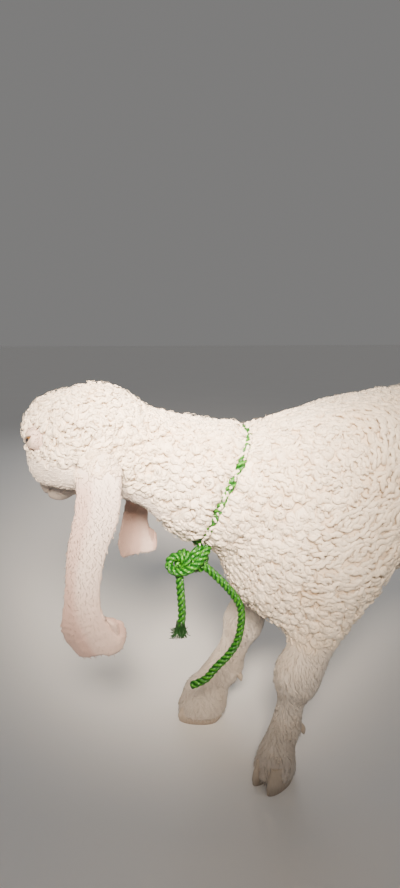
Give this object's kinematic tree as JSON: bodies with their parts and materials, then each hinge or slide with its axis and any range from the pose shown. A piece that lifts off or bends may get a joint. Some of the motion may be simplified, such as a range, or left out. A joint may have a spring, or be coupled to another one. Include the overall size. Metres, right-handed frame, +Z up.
{
  "type": "standing lamb",
  "caption": "Standing woolly lamb with long hanging ears, its head lowered and turned away, wearing a knotted rope collar with two loose ends.",
  "frame": {"origin": "on the floor, under the middle of the animal's bounding box; the rope's two loose ends aren't counted", "axes": "+X from the head to the tail, -Y to the animal's left, +Z up"},
  "size_m": [0.862, 0.2552, 0.5292],
  "materials": {
    "wool": "curly cream-white wool",
    "hair": "short white hair",
    "ear": "thin pinkish skin with short white hair",
    "eye": "moist dark amber",
    "horn": "pale horn",
    "rope": "bright green twisted plastic fibre"
  },
  "bodies": {
    "root": {"head": "wool", "neck": "wool", "trunk": "wool", "tail": "wool", "foreleg_left": "hair", "foreleg_right": "hair", "hindleg_left": "hair", "hindleg_right": "hair", "ear_left": "ear", "ear_right": "ear", "eye_left": "eye", "eye_right": "eye", "hoof_forefoot_left_inner": "horn", "hoof_forefoot_left_outer": "horn", "hoof_forefoot_right_inner": "horn", "hoof_forefoot_right_outer": "horn", "hoof_hindfoot_left_inner": "horn", "hoof_hindfoot_left_outer": "horn", "hoof_hindfoot_right_inner": "horn", "hoof_hindfoot_right_outer": "horn", "dewclaw_forefoot_left_inner": "horn", "dewclaw_forefoot_left_outer": "horn", "dewclaw_forefoot_right_inner": "horn", "dewclaw_forefoot_right_outer": "horn", "dewclaw_hindfoot_left_inner": "horn", "dewclaw_hindfoot_left_outer": "horn", "dewclaw_hindfoot_right_inner": "horn", "dewclaw_hindfoot_right_outer": "horn", "collar_rope": "rope", "collar_knot": "rope", "rope_end_short": "rope", "rope_end_long": "rope"}
  },
  "joints": []
}
